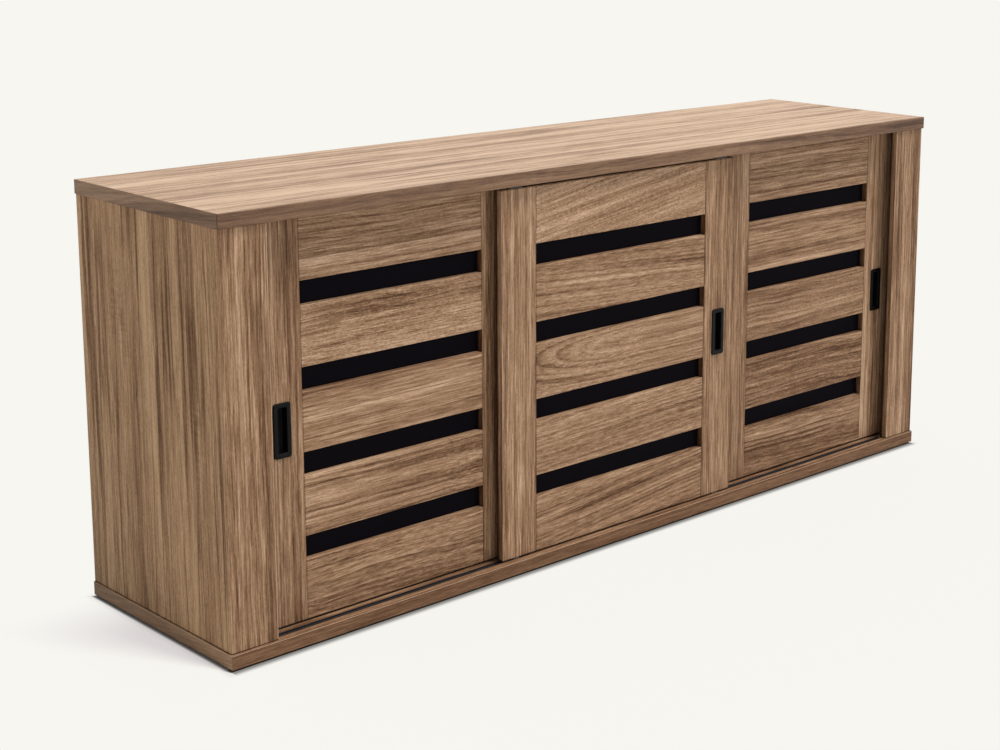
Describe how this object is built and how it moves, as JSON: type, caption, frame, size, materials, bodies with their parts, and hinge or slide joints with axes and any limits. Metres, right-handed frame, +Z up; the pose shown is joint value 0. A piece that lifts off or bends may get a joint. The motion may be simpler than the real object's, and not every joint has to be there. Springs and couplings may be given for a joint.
{
  "type": "office credenza",
  "caption": "Low wooden storage cabinet with slatted sliding doors in two lanes, flush pulls, inner shelves and a plain flat top; the doors roll sideways behind and between front posts.",
  "frame": {"origin": "on the floor, under the middle of the cabinet's overall box", "axes": "+X along the width to the viewer's right, -Y towards the front with the doors, +Z up"},
  "size_m": [1.8, 0.445, 0.75],
  "materials": {
    "walnut_top": "satin laminate, grain along the width",
    "walnut_edge": "satin laminate, grain along the width",
    "walnut_board": "satin laminate, upright grain",
    "walnut_stile": "satin laminate, upright grain",
    "walnut_slat": "satin laminate, grain along the width",
    "walnut_inner": "satin laminate",
    "beech": "raw turned wood",
    "door_backing": "matte near-black hardboard skin",
    "pull_plastic": "fine matte black moulding",
    "track_plastic": "matte black extrusion",
    "roller_nylon": "off-white nylon",
    "glide_plastic": "matte black plastic",
    "bumper_rubber": "soft black rubber",
    "cast_zinc": "dull cast metal",
    "plated_steel": "plated steel"
  },
  "bodies": {
    "root": {"top_panel": "walnut_top", "base_panel": "walnut_edge", "side_panel_left": "walnut_board", "side_panel_right": "walnut_board", "front_post_left": "walnut_board", "front_post_right": "walnut_board", "divider_left": "walnut_inner", "divider_right": "walnut_inner", "back_panel": "walnut_inner", "cam_locks": "cast_zinc", "cam_bolts": "plated_steel", "panel_dowels": "beech", "glides": "glide_plastic", "glide_nails": "plated_steel", "bottom_track_front": "track_plastic", "bottom_track_rear": "track_plastic", "top_track_front": "track_plastic", "top_track_rear": "track_plastic", "door_bumpers": "bumper_rubber", "shelf_left": "walnut_inner", "shelf_centre": "walnut_inner", "shelf_right": "walnut_inner", "shelf_pins": "plated_steel"},
    "left_door": {"left_door_stile_left": "walnut_stile", "left_door_stile_right": "walnut_stile", "left_door_bottom_rail": "walnut_slat", "left_door_slats": "walnut_slat", "left_door_top_rail": "walnut_slat", "left_door_backing": "door_backing", "left_door_pull": "pull_plastic", "left_door_roller_housings": "track_plastic", "left_door_roller_axles": "plated_steel", "left_door_top_guides": "roller_nylon"},
    "left_door_roller_left": {"left_door_roller_left": "roller_nylon"},
    "left_door_roller_right": {"left_door_roller_right": "roller_nylon"},
    "centre_door": {"centre_door_stile_left": "walnut_stile", "centre_door_stile_right": "walnut_stile", "centre_door_bottom_rail": "walnut_slat", "centre_door_slats": "walnut_slat", "centre_door_top_rail": "walnut_slat", "centre_door_backing": "door_backing", "centre_door_pull": "pull_plastic", "centre_door_roller_housings": "track_plastic", "centre_door_roller_axles": "plated_steel", "centre_door_top_guides": "roller_nylon"},
    "centre_door_roller_left": {"centre_door_roller_left": "roller_nylon"},
    "centre_door_roller_right": {"centre_door_roller_right": "roller_nylon"},
    "right_door": {"right_door_stile_left": "walnut_stile", "right_door_stile_right": "walnut_stile", "right_door_bottom_rail": "walnut_slat", "right_door_slats": "walnut_slat", "right_door_top_rail": "walnut_slat", "right_door_backing": "door_backing", "right_door_pull": "pull_plastic", "right_door_roller_housings": "track_plastic", "right_door_roller_axles": "plated_steel", "right_door_top_guides": "roller_nylon"},
    "right_door_roller_left": {"right_door_roller_left": "roller_nylon"},
    "right_door_roller_right": {"right_door_roller_right": "roller_nylon"}
  },
  "joints": [
    {"name": "left_door_slide", "type": "slide", "parent": "root", "child": "left_door", "axis": [1, 0, 0], "range_m": [-0.0234, 0.2715]},
    {"name": "left_door_roller_left_spin", "type": "hinge", "parent": "left_door", "child": "left_door_roller_left", "pos_m": [-0.8179, -0.1775, 0.0365], "axis": [0, 1, 0], "continuous": true},
    {"name": "left_door_roller_right_spin", "type": "hinge", "parent": "left_door", "child": "left_door_roller_right", "pos_m": [-0.2971, -0.1775, 0.0365], "axis": [0, 1, 0], "continuous": true},
    {"name": "centre_door_slide", "type": "slide", "parent": "root", "child": "centre_door", "axis": [1, 0, 0], "range_m": [-0.49, 0.518]},
    {"name": "centre_door_roller_left_spin", "type": "hinge", "parent": "centre_door", "child": "centre_door_roller_left", "pos_m": [-0.2825, -0.2025, 0.0365], "axis": [0, 1, 0], "continuous": true},
    {"name": "centre_door_roller_right_spin", "type": "hinge", "parent": "centre_door", "child": "centre_door_roller_right", "pos_m": [0.2545, -0.2025, 0.0365], "axis": [0, 1, 0], "continuous": true},
    {"name": "right_door_slide", "type": "slide", "parent": "root", "child": "right_door", "axis": [1, 0, 0], "range_m": [-0.2715, 0]},
    {"name": "right_door_roller_left_spin", "type": "hinge", "parent": "right_door", "child": "right_door_roller_left", "pos_m": [0.3205, -0.1775, 0.0365], "axis": [0, 1, 0], "continuous": true},
    {"name": "right_door_roller_right_spin", "type": "hinge", "parent": "right_door", "child": "right_door_roller_right", "pos_m": [0.8413, -0.1775, 0.0365], "axis": [0, 1, 0], "continuous": true}
  ],
  "couplings": [
    {"joint": "left_door_roller_left_spin", "follows": "left_door_slide", "rad_per_m": 125},
    {"joint": "left_door_roller_right_spin", "follows": "left_door_slide", "rad_per_m": 125},
    {"joint": "centre_door_roller_left_spin", "follows": "centre_door_slide", "rad_per_m": 125},
    {"joint": "centre_door_roller_right_spin", "follows": "centre_door_slide", "rad_per_m": 125},
    {"joint": "right_door_roller_left_spin", "follows": "right_door_slide", "rad_per_m": 125},
    {"joint": "right_door_roller_right_spin", "follows": "right_door_slide", "rad_per_m": 125}
  ]
}
